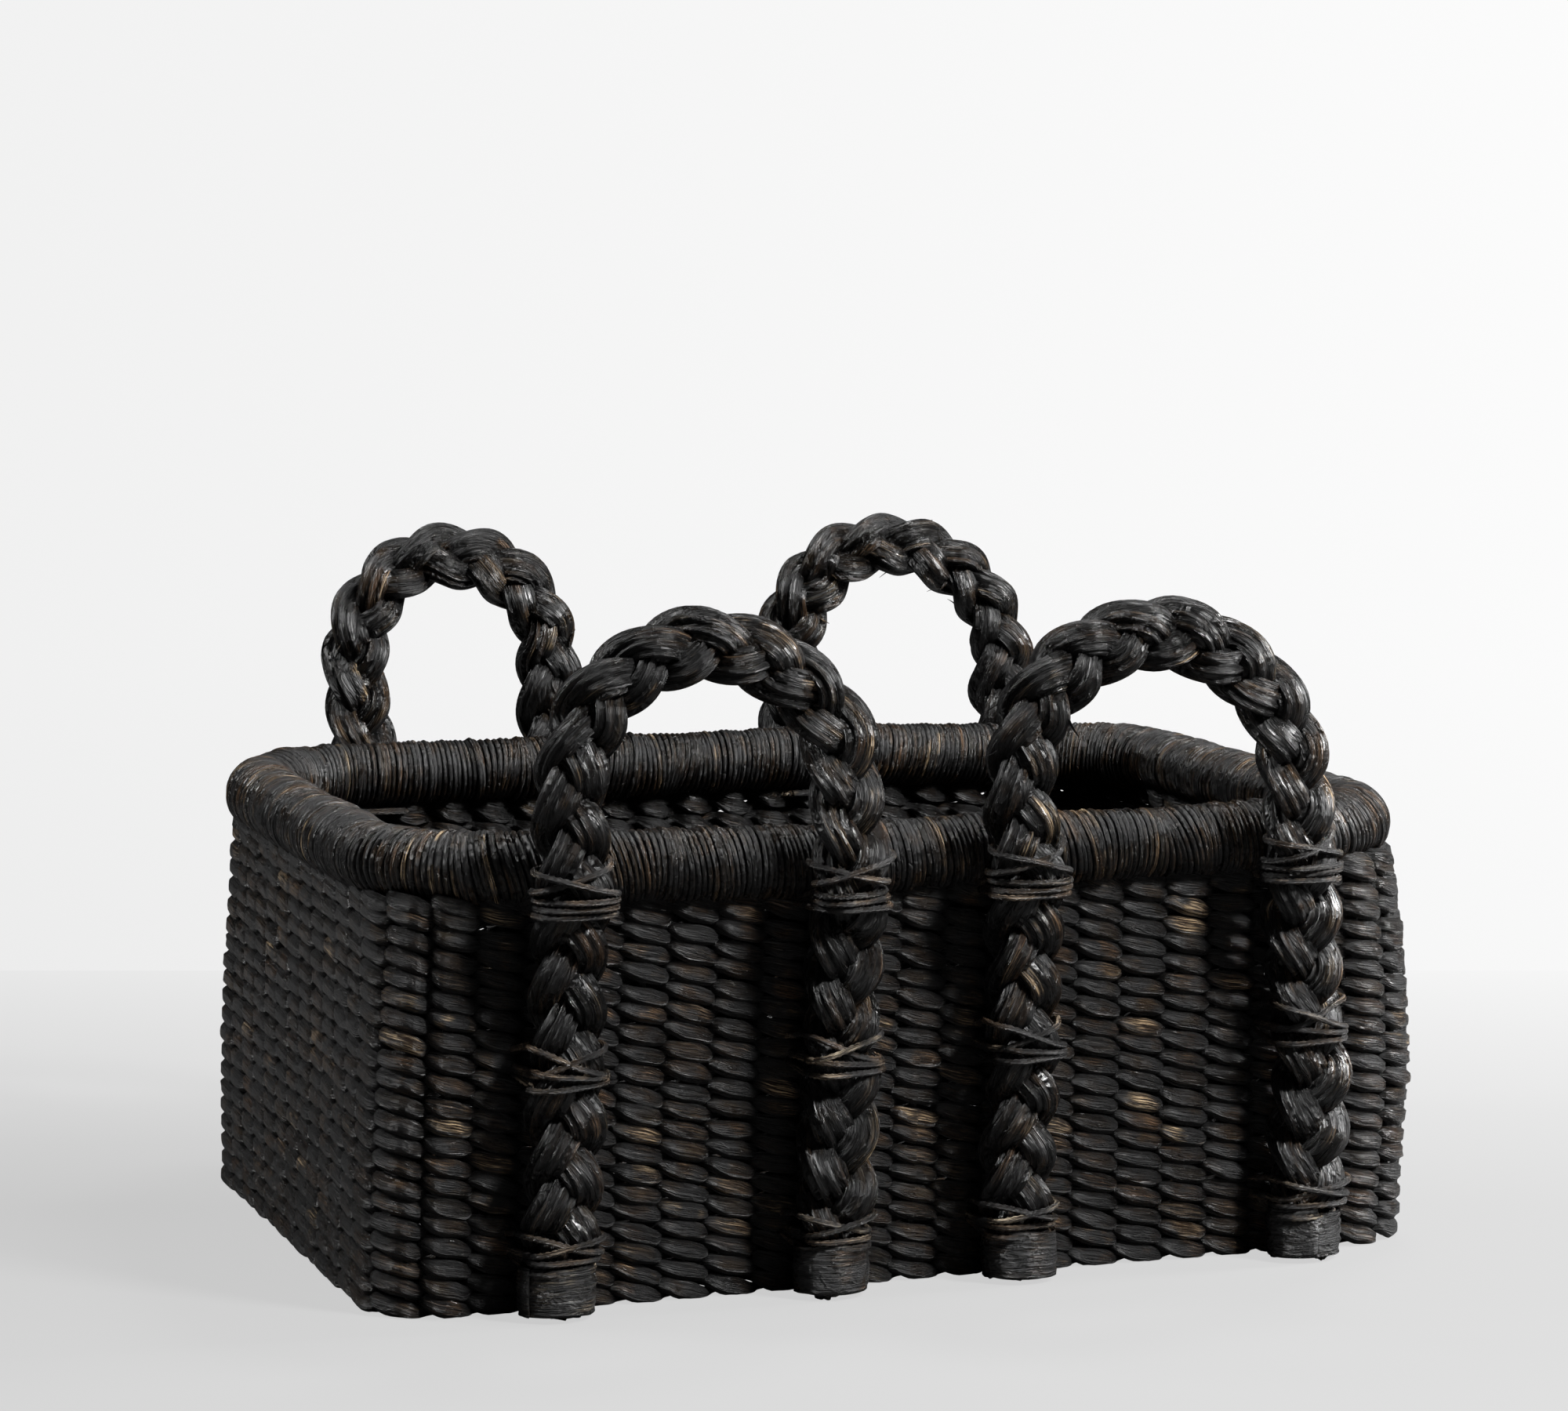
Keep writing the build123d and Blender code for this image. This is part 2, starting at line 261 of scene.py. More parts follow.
def fibre_finish(name, base, wear, fibre, crease, gloss, relief, shine, ply=0.0, crumple=0.0):
    """Plant fibre dyed black: fine fibres run along it, and rubbing lets the wear colours, which
    are olive, brown and tan, show through on the ridges.  Shade is painted into the colour as
    well: it goes dark in the creases, between the fine ribs and where a piece marks painted
    shade, and pale lines on the ridges paint the fibres' highlights.  Fibre and crease are
    spacings and relief a height in millimetres; gloss is the roughness of handled skin and shine
    its IOR; ply is the length of one lay of the twist in millimetres, and crumple how deep a dried
    leaf is folded."""
    olive, brown, tan = wear
    material = bpy.data.materials.new(name)
    material.use_nodes = True
    tree = material.node_tree
    tree.nodes.clear()
    run = put(tree, "ShaderNodeUVMap", uv_map="fibre").outputs["UV"]
    rubbed = put(tree, "ShaderNodeAttribute", attribute_name="rubbed").outputs["Fac"]
    shade = put(tree, "ShaderNodeAttribute", attribute_name="shade").outputs["Fac"]
    fine_run = put(
        tree, "ShaderNodeMapping", {"Vector": run, "Scale": (55, 1000 / fibre, 1)}
    ).outputs["Vector"]
    fine = put(
        tree,
        "ShaderNodeTexNoise",
        {"Vector": fine_run, "Scale": 1.0, "Detail": 4.0, "Roughness": 0.65},
    ).outputs["Fac"]
    broad_run = put(
        tree, "ShaderNodeMapping", {"Vector": run, "Scale": (34, 1000 / crease, 1)}
    ).outputs["Vector"]
    broad = put(
        tree,
        "ShaderNodeTexNoise",
        {"Vector": broad_run, "Scale": 1.0, "Detail": 2.0, "Distortion": 0.4},
    ).outputs["Fac"]
    ridge = put(
        tree, "ShaderNodeMapRange", {"Value": fine, "From Min": 0.36, "From Max": 0.62}
    ).outputs["Result"]
    # Wear and painted highlight: the brightest fibre lines, where rubbed and handled, take the pale
    # wear colours and stand in for glints along the fibres
    fibre_wear_and_highlight = put(
        tree, "ShaderNodeMapRange", {"Value": fine, "From Min": 0.5, "From Max": 0.62}
    ).outputs["Result"]
    place = put(tree, "ShaderNodeTexCoord").outputs["Object"]
    handled = put(
        tree,
        "ShaderNodeTexNoise",
        {"Vector": place, "Scale": 48.0, "Detail": 2.0, "Roughness": 0.6},
    ).outputs["Fac"]
    handled = put(
        tree,
        "ShaderNodeMapRange",
        {"Value": handled, "From Min": 0.42, "From Max": 0.66, "To Max": 1.6},
    ).outputs["Result"]
    wear_and_highlight_showing = put(
        tree, "ShaderNodeMath", {0: rubbed, 1: fibre_wear_and_highlight}, operation="MULTIPLY"
    ).outputs["Value"]
    wear_and_highlight_showing = put(
        tree, "ShaderNodeMath", {0: wear_and_highlight_showing, 1: handled}, operation="MULTIPLY", use_clamp=True
    ).outputs["Value"]
    under = put(
        tree,
        "ShaderNodeValToRGB",
        {"Fac": shade},
        stops=[(0.0, stain(olive)), (0.55, stain(brown)), (1.0, stain(tan))],
    ).outputs["Color"]
    # Painted shade: the base colour darkens to four tenths in the low parts of the crease noise,
    # the same noise that sinks the bump
    depth = put(
        tree,
        "ShaderNodeValToRGB",
        {"Fac": broad},
        stops=[(0.35, [c * 0.4 for c in stain(base)[:3]] + [1]), (0.62, stain(base))],
    ).outputs["Color"]
    # Real wear and painted shade together: high values brighten the dye, low values in crevices and
    # shaded parts darken it nearly to black
    wear_and_shade_factor = put(
        tree,
        "ShaderNodeMapRange",
        {"Value": rubbed, "From Max": 0.4, "To Min": 0.12, "To Max": 1.3},
    ).outputs["Result"]
    # Painted shade: the colour is darker between the fine ribs that the bump raises, and is then
    # scaled by the wear and painted shade
    groove_shade_and_wear = put(
        tree, "ShaderNodeMapRange", {"Value": ridge, "To Min": 0.3, "To Max": 1.2}
    ).outputs["Result"]
    groove_shade_and_wear = put(
        tree, "ShaderNodeMath", {0: groove_shade_and_wear, 1: wear_and_shade_factor}, operation="MULTIPLY"
    ).outputs["Value"]
    warm = put(
        tree, "ShaderNodeMath", {0: handled, 1: rubbed}, operation="MULTIPLY", use_clamp=True
    ).outputs["Value"]
    depth = put(
        tree,
        "ShaderNodeMix",
        {"Factor": warm, 6: depth, 7: [c * 0.2 for c in stain(brown)[:3]] + [1]},
        data_type="RGBA",
    ).outputs[2]
    depth = put(
        tree, "ShaderNodeVectorMath", {0: depth, "Scale": groove_shade_and_wear}, operation="SCALE"
    ).outputs["Vector"]
    colour = put(
        tree, "ShaderNodeMix", {"Factor": wear_and_highlight_showing, 6: depth, 7: under}, data_type="RGBA"
    ).outputs[2]
    rough = put(
        tree, "ShaderNodeMapRange", {"Value": fine, "To Min": gloss - 0.08, "To Max": gloss + 0.14}
    ).outputs["Result"]
    dull = put(
        tree, "ShaderNodeMapRange", {"Value": handled, "To Min": 0.14, "To Max": -0.06}
    ).outputs["Result"]
    rough = put(tree, "ShaderNodeMath", {0: rough, 1: dull}, operation="ADD").outputs["Value"]
    height = put(
        tree, "ShaderNodeMath", {0: broad, 1: 4.0, 2: ridge}, operation="MULTIPLY_ADD"
    ).outputs["Value"]
    if crumple:
        fold_run = put(
            tree, "ShaderNodeMapping", {"Vector": run, "Scale": (62, 150, 1)}
        ).outputs["Vector"]
        fold = put(
            tree,
            "ShaderNodeTexNoise",
            {"Vector": fold_run, "Scale": 1.0, "Detail": 2.0, "Distortion": 1.1},
        ).outputs["Fac"]
        fold = put(tree, "ShaderNodeMath", {0: fold, 1: 0.5}, operation="SUBTRACT").outputs["Value"]
        fold = put(tree, "ShaderNodeMath", {0: fold}, operation="ABSOLUTE").outputs["Value"]
        height = put(
            tree, "ShaderNodeMath", {0: fold, 1: crumple, 2: height}, operation="MULTIPLY_ADD"
        ).outputs["Value"]
    if ply:
        split = put(tree, "ShaderNodeSeparateXYZ", {"Vector": run})
        plies, cord_girth = 3, 13.0
        stray = put(tree, "ShaderNodeTexNoise", {"Vector": place, "Scale": 110.0}).outputs["Fac"]
        stray = put(
            tree, "ShaderNodeMath", {0: stray, 1: 14.0}, operation="MULTIPLY"
        ).outputs["Value"]
        lay = put(
            tree,
            "ShaderNodeMath",
            {0: split.outputs["X"], 1: 1000 * plies * pi / ply, 2: stray},
            operation="MULTIPLY_ADD",
        ).outputs["Value"]
        turned = put(
            tree,
            "ShaderNodeMath",
            {0: split.outputs["Y"], 1: 1000 * plies * pi / cord_girth, 2: lay},
            operation="MULTIPLY_ADD",
        ).outputs["Value"]
        swing = put(tree, "ShaderNodeMath", {0: turned}, operation="SINE").outputs["Value"]
        wave = put(tree, "ShaderNodeMath", {0: swing}, operation="ABSOLUTE").outputs["Value"]
        height = put(
            tree, "ShaderNodeMath", {0: wave, 1: 1.2, 2: height}, operation="MULTIPLY_ADD"
        ).outputs["Value"]
    bump = put(
        tree, "ShaderNodeBump", {"Height": height, "Strength": 1.0, "Distance": relief / 1000}
    ).outputs["Normal"]
    shader = put(
        tree,
        "ShaderNodeBsdfPrincipled",
        {"Base Color": colour, "Roughness": rough, "Normal": bump, "IOR": shine},
    )
    put(tree, "ShaderNodeOutputMaterial", {"Surface": shader.outputs["BSDF"]})
    return material


# Olive, brown and tan that come through black dye where it is rubbed; on the brightest fibre lines
# they also paint highlights
worn_dye = ("#353325", "#644b35", "#c8b08c")

# Water hyacinth stems, dyed black and twined damp: matt, with fine ribs and rubbed high spots
twined_hyacinth = fibre_finish(
    "black_dyed_twined_hyacinth",
    base="#181717",
    wear=worn_dye,
    fibre=0.9,
    crease=2.8,
    gloss=0.32,
    relief=0.9,
    shine=1.42,
    crumple=5.0,
)
# The same stems plaited in fuller hanks: the folded outer skin keeps a satin light
plaited_hyacinth = fibre_finish(
    "black_dyed_plaited_hyacinth",
    base="#131212",
    wear=worn_dye,
    fibre=0.8,
    crease=3.8,
    gloss=0.28,
    relief=0.85,
    shine=1.45,
    crumple=12.0,
)
# Seagrass spun into cord and dyed: the lay of the twist shows as slanting ribs
spun_cord = fibre_finish(
    "black_dyed_spun_seagrass_cord",
    base="#151414",
    wear=worn_dye,
    fibre=0.6,
    crease=1.6,
    gloss=0.27,
    relief=0.5,
    shine=1.42,
    ply=17.0,
)
# Thin twisted twine, greyed by handling: its threads are paler than the cord's
dyed_twine = fibre_finish(
    "black_dyed_twisted_twine",
    base="#1d1b1a",
    wear=("#47443a", "#7c6754", "#d8c8ae"),
    fibre=0.6,
    crease=1.4,
    gloss=0.28,
    relief=0.6,
    shine=1.45,
)
# Broad hyacinth leaf wrapped wet: a smooth skin puckered as it dried, with long parallel veins
wrapped_leaf = fibre_finish(
    "black_dyed_wrapped_leaf",
    base="#131212",
    wear=("#353325", "#644b35", "#c0ae92"),
    fibre=1.0,
    crease=3.0,
    gloss=0.29,
    relief=0.9,
    shine=1.45,
    crumple=9.0,
)
# Split rattan, dyed through: close straight grain under a dull skin
dyed_rattan = fibre_finish(
    "black_dyed_split_rattan",
    base="#1f1d1b",
    wear=("#2f2b22", "#4a3a2c", "#7f6c54"),
    fibre=0.5,
    crease=1.6,
    gloss=0.5,
    relief=0.2,
    shine=1.5,
)


def bead_tones(count):
    """How rubbed each bead is and its shade: most stay black, a few show brown or tan."""
    rubbed = 0.24 + 0.45 * chance.random(count) ** 2
    strong = chance.random(count) < 0.1
    rubbed = np.where(strong, chance.uniform(0.7, 1.2, count), rubbed)
    shade = np.where(strong, chance.uniform(0.5, 1.0, count), chance.uniform(0, 0.7, count))
    return rubbed, shade


def held(position, values, loop=True):
    """Each bead keeps its own value and hands over to the next at the gap between stakes."""
    size = len(values)
    whole = np.floor(position).astype(int)
    part = ease((position - whole - 0.3) / 0.4)
    follow = (whole + 1) % size if loop else np.minimum(whole + 1, size - 1)
    return values[whole % size] * (1 - part) + values[follow] * part


# ---------------------------------------------------------------- woven wall

long_stakes = 10  # on each side of the middle one
end_stakes = 6
stakes_round = 4 * (long_stakes + end_stakes + 2)


def stake_marks(line, long, wide, corner):
    """Distances of all the stakes round an outline, from the front's middle stake."""
    total = line[0][-1]
    bend = corner * pi / 2
    front = np.arange(0, long_stakes + 1) * stake_pitch
    first_corner = long - corner + bend / 2
    end_middle = long - corner + bend + (wide - corner)
    end = end_middle + np.arange(-end_stakes, end_stakes + 1) * end_pitch
    back_half = np.concatenate([front, [first_corner], end])
    mirrored = total / 2 - np.concatenate([front[1:], [first_corner]])[::-1]
    half = np.concatenate([back_half, mirrored])
    return np.concatenate([half, half + total / 2, [total]])


def twined_section(tall, thick, sides, ribs):
    """Ring offsets outward and upward for a stem pressed flat over a stake, with long ribs."""
    angle = round_section(sides)
    ridge = 1 + 0.045 * np.where(np.arange(sides) % 2, 1, -1) + ribs
    out = thick[:, None] / 2 * np.cos(angle) * ridge
    up = tall[:, None] / 2 * np.sign(np.sin(angle)) * np.abs(np.sin(angle)) ** 0.9 * ridge
    return out, up


def twined_stem(position, over, cross, columns, sides, loop, plump=0.0):
    """Sizes shared by wall and base: the offset through the weave, the shift along the course,
    how light the stem is drawn, and the ring offsets.  That lightness is painted shade: the beads
    go dark towards their ends, where they dive between stakes, and dim on the inner face.  Plump
    beads stand prouder and level."""
    swell = held(position, chance.normal(1, 0.07, columns), loop)
    proud = held(position, chance.normal(0, 0.45, columns), loop)
    fore = over + 0.26 * (1 - over ** 2)
    along_bead = 1 - 2 / pi * np.arcsin(np.clip(np.abs(fore), 0, 1))
    round_end = np.sqrt(1 - along_bead ** 4.2)
    lobe = np.abs(fore) ** 0.75 * (1 - plump) + round_end * plump
    least = 5.6 + 2.6 * plump
    tall = least + (10.9 - least) * np.abs(fore) ** 0.9 * swell
    thick = 6.0 + 1.8 * lobe * swell
    tilt = held(position, chance.normal(3.0, 0.5, columns), loop) * (1 - 0.5 * plump)
    ribs = np.stack([wander(len(position), 4, 0.045, loop) for _ in range(sides)], axis=-1)
    out, up = twined_section(tall, thick, sides, ribs)
    shift = (5.3 + 0.9 * plump) * np.sign(fore) * lobe + proud * np.abs(fore)
    lift = -tilt * (0.45 * cross + 0.55 * cross ** 3)
    # Painted shade: dark at the bead ends and dimmer on the inner face
    high = np.where(fore > 0, lobe * np.abs(fore) ** 0.5, 0.3 * np.abs(fore))
    return shift, lift, high, out, up


def wall_stem(course, strand):
    """One of the two stems of a course, over one stake and under the next all the way round."""
    level = (course + 0.5) * course_pitch
    corner = wall_corner + 10 * ease(level / wall_top * 2 - 1)
    line = outline(half_long, half_wide, corner)
    marks = stake_marks(line, half_long, half_wide, corner)
    steps = 11
    position = np.arange(stakes_round * steps) / steps
    position += 0.05 * np.sin(2 * pi * position)
    place, way, _ = along(line, np.interp(position, np.arange(stakes_round + 1), marks))
    phase = pi * (position + strand)
    sides = 14
    shift, lift, high, out, up = twined_stem(
        position, np.cos(phase), np.sin(phase), stakes_round, sides, True, way[:, 0] ** 4
    )
    lift = lift + held(position, chance.normal(0, 0.45, stakes_round))
    lift = lift + wander(len(position), 120, 0.5, True)
    reach = shift[:, None] + out
    rings = np.empty((len(position), sides, 3))
    rings[..., :2] = place[:, None, :] + way[:, None, :] * reach[..., None]
    rings[..., 2] = np.clip(level + lift[:, None] + up, 0.2, None)
    rubbed, shade = bead_tones(stakes_round)
    # Painted shade: each bead darkens towards its top and bottom, where it meets the courses above
    # and below, and towards its ends
    edge = 1 - 0.85 * np.abs(np.sin(round_section(sides))) ** 4
    rubbed = (held(position, rubbed) * high)[:, None] * edge
    return Hank(rings, True, rubbed, held(position, shade))


groups = 5
for group in range(groups):
    stems = [
        wall_stem(course, strand)
        for course in range(group * courses // groups, (group + 1) * courses // groups)
        for strand in (0, 1)
    ]
    name = f"wall_courses_{group + 1}"
    make_piece(name, stems, twined_hyacinth, ["woven_wall"])

# A last course is beaten up under the rim, and is drawn darker there as painted shade under the rim
border = [wall_stem(courses - 0.4, strand) for strand in (0, 1)]
for stem in border:
    stem.rubbed = stem.rubbed * 0.2
make_piece("wall_border", border, twined_hyacinth, ["woven_wall"])

# ---------------------------------------------------------------- woven base


def base_stem(row, strand):
    """A stem of the base, twined over and under the stakes that cross it."""
    y = row * course_pitch
    past = max(abs(y) - (half_wide - wall_corner), 0)
    reach = half_long - wall_corner + np.sqrt(wall_corner ** 2 - past ** 2)
    x = np.arange(-reach, reach, stake_pitch / 6)
    position = x / stake_pitch
    phase = pi * (position + strand)
    sides = 10
    columns = 30
    shift, lift, high, out, up = twined_stem(
        position + 13, np.cos(phase), np.sin(phase), columns, sides, False
    )
    rings = np.empty((len(x), sides, 3))
    rings[..., 0] = x[:, None]
    rings[..., 1] = y + lift[:, None] - up * 1.16
    rings[..., 2] = np.clip(7.6 + shift[:, None] * 0.85 + out, 0.2, None)
    rubbed, shade = bead_tones(columns)
    rubbed, shade = held(position + 13, rubbed, False), held(position + 13, shade, False)
    # Painted shade: darker at the bead ends and on the face towards the floor
    return Hank(rings, False, rubbed * (0.3 + 0.7 * high), shade)


rows = int((half_wide - 4) / course_pitch)
base_stems = [base_stem(row, strand) for row in range(-rows, rows + 1) for strand in (0, 1)]
make_piece("base_courses", base_stems, twined_hyacinth, ["woven_base"])

# ---------------------------------------------------------------- stakes and rim core


def rod(path, radius, sides=8, flat=1.0):
    """Rings of a rod along a path, round or pressed flat, of one radius or one for each point."""
    path = np.asarray(path, float)
    ahead = np.gradient(path, axis=0)
    ahead /= np.linalg.norm(ahead, axis=-1, keepdims=True)
    upward = np.where(np.abs(ahead[:, 2:]) > 0.8, [[1.0, 0, 0]], [[0, 0, 1.0]])
    across = np.cross(ahead, upward)
    across /= np.linalg.norm(across, axis=-1, keepdims=True)
    third = np.cross(across, ahead)
    angle = round_section(sides)[None, :, None]
    radius = np.broadcast_to(radius, len(path))[:, None, None]
    return path[:, None] + radius * (
        across[:, None] * np.cos(angle) + third[:, None] * np.sin(angle) * flat
    )


def stake_bend(reach, level):
    """Half of a stake's course seen from the side: from the middle of the base, round, and up."""
    bent = 12  # radius of the bend
    turn = np.linspace(0, pi / 2, 6)
    low = [(d, level) for d in np.linspace(0, reach - bent, 8)[:-1]]
    bend = [(reach - bent + bent * sin(a), level + bent - bent * cos(a)) for a in turn]
    high = [(reach, z) for z in np.linspace(level + 2 * bent, wall_top - 0.5, 10)]
    return low + bend + high


def bent_stake(place, reach, level, lengthwise):
    """A whole rod bent up at both ends, along the basket or across it."""
    half = stake_bend(reach, level)
    full = [(-d, z) for d, z in half[:0:-1]] + half
    path = [(d, place, z) if lengthwise else (place, d, z) for d, z in full]
    return Hank(rod(path, stake_radius), False, 0.2, 0.4)


under_level, over_level = 4.8, 10.4  # the long rods lie over the cross rods in the base
cross_rods = [
    bent_stake(n * stake_pitch, half_wide, under_level, False)
    for n in range(-long_stakes, long_stakes + 1)
]
long_rods = [
    bent_stake(n * end_pitch, half_long, over_level, True)
    for n in range(-end_stakes, end_stakes + 1)
]
corner_rods = []
for sx in (-1, 1):
    for sy in (-1, 1):
        inside = wall_corner * (1 - cos(pi / 4))
        x, y = sx * (half_long - inside), sy * (half_wide - inside)
        path = [(x, y, z) for z in np.linspace(3, wall_top - 0.5, 12)]
        corner_rods.append(Hank(rod(path, stake_radius)))
make_piece("cross_stake_rods", cross_rods, dyed_rattan, ["cross_stakes"])
make_piece("long_stake_rods", long_rods, dyed_rattan, ["long_stakes"])
make_piece("corner_stake_rods", corner_rods, dyed_rattan, ["corner_stakes"])

rim_line = outline(half_long, half_wide, rim_corner)
rim_length = rim_line[0][-1]
core_steps, core_sides, core_radius = 240, 20, rim_radius - 4.6
place, way, _ = along(rim_line, np.linspace(0, rim_length, core_steps, endpoint=False))
angle = round_section(core_sides)
core = np.empty((core_steps, core_sides, 3))
core[..., :2] = place[:, None] + way[:, None] * core_radius * np.cos(angle)[None, :, None]
core[..., 2] = rim_level + core_radius * np.sin(angle)
make_piece("rim_core_hoop", [Hank(core, True)], dyed_rattan, ["rim_core"])

# ---------------------------------------------------------------- corded rim


def rim_cord():
    """The cord that is wound round the rim, one turn beside the next, as one closed run."""
    turns = int(round(rim_length / cord_pitch))
    steps = 52
    count = turns * steps
    turn = np.arange(count) / steps
    angle = 2 * pi * turn - pi / 2
    each = np.floor(turn).astype(int)
    radius = rim_radius - 1.7 + wander(count, steps * 1.1, 0.5, True)
    radius = radius + wander(count, steps * 9, 0.4, True)
    slant = 0.14 + 0.1 * np.sin(2 * pi * turn / turns + 0.4) + wander(count, steps * 6, 0.1, True)
    crowd = wander(count, steps * 1.6, 0.45, True) + wander(count, steps * 0.4, 0.15, True)
    distance = rim_length * turn / turns - slant * radius * np.sin(angle) + crowd
    place, way, bend = along(rim_line, distance)
    stretch = 1 + bend * radius * np.cos(angle)
    outward = np.stack([way[:, 0] * np.cos(angle), way[:, 1] * np.cos(angle), np.sin(angle)], -1)
    sideways = np.stack([-way[:, 1], way[:, 0], np.zeros(count)], -1)
    centre = np.empty((count, 3))
    centre[:, :2] = place + way * (radius * np.cos(angle))[:, None]
    centre[:, 2] = rim_level + radius * np.sin(angle)
    girth = 1 + wander(count, steps * 1.7, 0.06, True) + 0.07 * np.abs(np.sin(9.5 * angle))
    section = round_section(8)
    wide = (0.47 * cord_pitch * stretch * girth)[:, None, None] * np.cos(section)[None, :, None]
    deep = (1.75 * girth)[:, None, None] * np.sin(section)[None, :, None]
    rings = centre[:, None] + sideways[:, None] * wide + outward[:, None] * deep
    knots = 0.2 + 0.5 * chance.random(turns) ** 3
    strong = chance.random(turns) < 0.1
    rubbed = np.where(strong, chance.uniform(0.5, 1.1, turns), knots)
    shade = np.where(strong, chance.uniform(0.4, 0.95, turns), chance.uniform(0, 0.7, turns))
    # Painted shade: each turn stays light only on its crest and goes near black down its sides, in
    # the grooves between turns
    painted_groove_shade = ease(np.sin(section) * 0.9 + 0.1)
    return rings, rubbed[each][:, None] * painted_groove_shade, shade[each]


rings, rubbed, shade = rim_cord()
lengths = 3
bounds_at = np.linspace(0, len(rings), lengths + 1).astype(int)
for number in range(lengths):
    low, high = bounds_at[number], bounds_at[number + 1]
    pick = np.arange(low, high + 1) % len(rings)
    cord = Hank(rings[pick], False, rubbed[pick], shade[pick])
    make_piece(f"rim_cord_{number + 1}", [cord], spun_cord, ["rim_wrapping"])

# One end of the cord was left hanging under the front of the rim
tail_at = np.array([-112.0, -half_wide - 2.0, rim_level - rim_radius + 1.5])
tail_bends = [[0, 0, 3], [0.5, -1, -1], [1.2, -1.6, -5], [0.6, -2.4, -9], [1.6, -3.6, -12.5]]
tail = Hank(rod(tail_at + np.array(tail_bends), 1.1, 8), False, 0.2, 0.4)
make_piece("rim_cord_tail", [tail], spun_cord, ["rim_wrapping"])

# ---------------------------------------------------------------- plaited handles


# How far each handle's legs stray sideways: at the foot, half way up, at the rim, above it, on top
hand_made = {
    "front_left": ((0, 4, 1.5, -3.5, -2), (0, 3.3, 1.5, -3, -2)),
    "front_right": ((-3.3, 1, -3.3, -10, -17), (-1, 4, -7, -10, -10)),
    "back_left": ((0, 0, -1, -4, -10), (0, 0, 0, -4, -7)),
    "back_right": ((0, 0, 1, 3, -5), (0, 0, 0, -4, -4)),
}


class Handle:
    """The line that a plait follows: up one leg, over the arch and down the other."""

    def __init__(self, name):
        self.name = name
        left_low, left_high = packed(f"{name}_handle_left_leg_binding")
        right_low, right_high = packed(f"{name}_handle_right_leg_binding")
        self.left = (left_low[0] + left_high[0]) / 2
        self.right = (right_low[0] + right_high[0]) / 2
        self.foot = left_low[2]
        self.leg_out = abs(left_low[1] + left_high[1]) / 2
        self.side = 1 if left_low[1] > 0 else -1
        boxes = [packed(f"{name}_handle_strand_{n}") for n in (1, 2, 3)]
        self.top = max(high[2] for _, high in boxes)
        self.grip_out = half_wide + rim_radius + plait_dip * 0.87 + 7.2
        self.middle = (self.left + self.right) / 2
        self.radius = (self.right - self.left) / 2
        self.shoulder = self.top - 17.6 - self.radius
        self.leg = self.shoulder - self.foot
        self.length = 2 * self.leg + pi * self.radius

    def frame(self, distance):
        """Points on the middle of the plait and the directions across it."""
        back = self.length - distance
        turned = np.clip((distance - self.leg) / self.radius, 0, pi)
        angle = pi - turned
        height = np.minimum(distance, back) + self.foot
        arch = self.shoulder + self.radius * np.sin(angle)
        height = np.where((turned > 0) & (turned < pi), arch, height)
        start = rim_level - 2.4 * rim_radius
        share = (height - start) / (rim_level - 0.3 * rim_radius - start)
        out = self.leg_out + (self.grip_out - self.leg_out) * ease(share)
        levels = [self.foot, 110, rim_level - 15, rim_level + 50, self.top]
        sways = [np.interp(height, levels, sway) for sway in hand_made[self.name]]
        right = (1 + np.cos(angle)) / 2
        sway = sways[0] * (1 - right) + sways[1] * right
        sideways = self.middle + self.radius * np.cos(angle) + sway
        point = np.stack([sideways, self.side * out, height], -1)
        across = np.stack([np.cos(angle), np.zeros_like(angle), np.sin(angle)], -1)
        return point, across

    def girth(self, distance):
        """Share of the plait's full width there."""
        end = np.minimum(distance, self.length - distance)
        share = 0.8 + 0.2 * ease((end - 22) / 18)
        share = share * (1 - 0.03 * ease((end - self.leg) / plait_turn + 1))
        for level in lashing_levels:
            share = share * (1 - 0.1 * np.exp(-(((end + self.foot - level) / 9) ** 2)))
        return share


low_box = packed("front_left_handle_left_leg_low_lashing")
middle_box = packed("front_left_handle_left_leg_middle_lashing")
lashing_levels = [(low[2] + high[2]) / 2 for low, high in (low_box, middle_box)]
lashing_levels.append(rim_level - 13.0)


